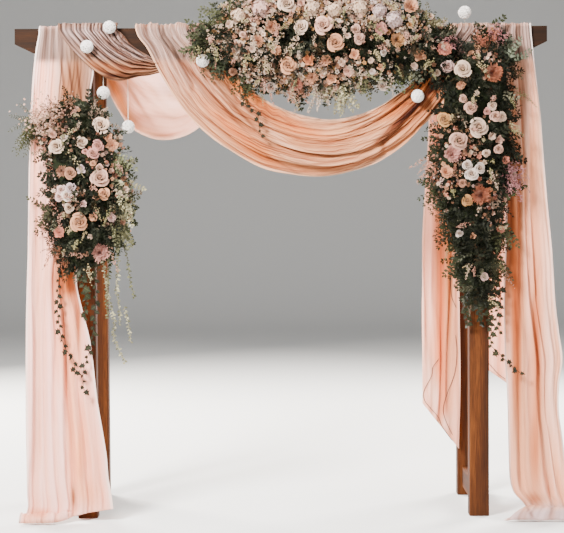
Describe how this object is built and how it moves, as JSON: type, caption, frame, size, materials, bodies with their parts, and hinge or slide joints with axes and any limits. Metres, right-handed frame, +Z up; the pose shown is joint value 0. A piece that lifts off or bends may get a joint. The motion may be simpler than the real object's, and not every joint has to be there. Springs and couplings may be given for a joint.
{
  "type": "wedding canopy",
  "caption": "Wedding canopy: an open timber frame of posts and tailed beams, hung with gathered chiffon drapes and swags, with rose garlands and small thread balls.",
  "frame": {"origin": "on the ground, under the middle of the canopy's whole outline", "axes": "+X to the right of someone who faces the canopy's front, +Y away from them towards the rear beam, +Z up"},
  "size_m": [2.555, 1.0284, 2.423],
  "materials": {
    "timber": "stained, satin",
    "chiffon": "sheer, matte",
    "rear_chiffon": "sheer, matte",
    "petals": "matte",
    "greenery": "matte",
    "thread": "matte"
  },
  "bodies": {
    "root": {"front_left_post": "timber", "front_right_post": "timber", "rear_left_post": "timber", "rear_right_post": "timber", "front_beam": "timber", "rear_beam": "timber", "left_foot_rail": "timber", "left_top_rail": "timber", "right_foot_rail": "timber", "right_top_rail": "timber", "left_leg_drape": "chiffon", "right_leg_drape": "chiffon", "left_hem_heap": "chiffon", "right_hem_heap": "chiffon", "left_corner_swag": "chiffon", "main_swag": "chiffon", "left_roof_run": "chiffon", "left_rear_tail": "chiffon", "middle_roof_run": "chiffon", "middle_rear_tail": "chiffon", "right_roof_run": "chiffon", "right_rear_tail": "chiffon", "rear_left_swag": "rear_chiffon", "rear_right_drape": "rear_chiffon", "rear_right_outer_drape": "rear_chiffon", "top_flowers": "petals", "left_flowers": "petals", "right_flowers": "petals", "top_flower_base": "greenery", "right_flower_base": "greenery", "left_trailing_greens": "greenery", "right_trailing_greens": "greenery", "thread_ball_1": "thread", "thread_ball_2": "thread", "thread_ball_3": "thread", "thread_ball_4": "thread", "thread_ball_5": "thread", "thread_ball_6": "thread", "thread_ball_7": "thread"}
  },
  "joints": []
}
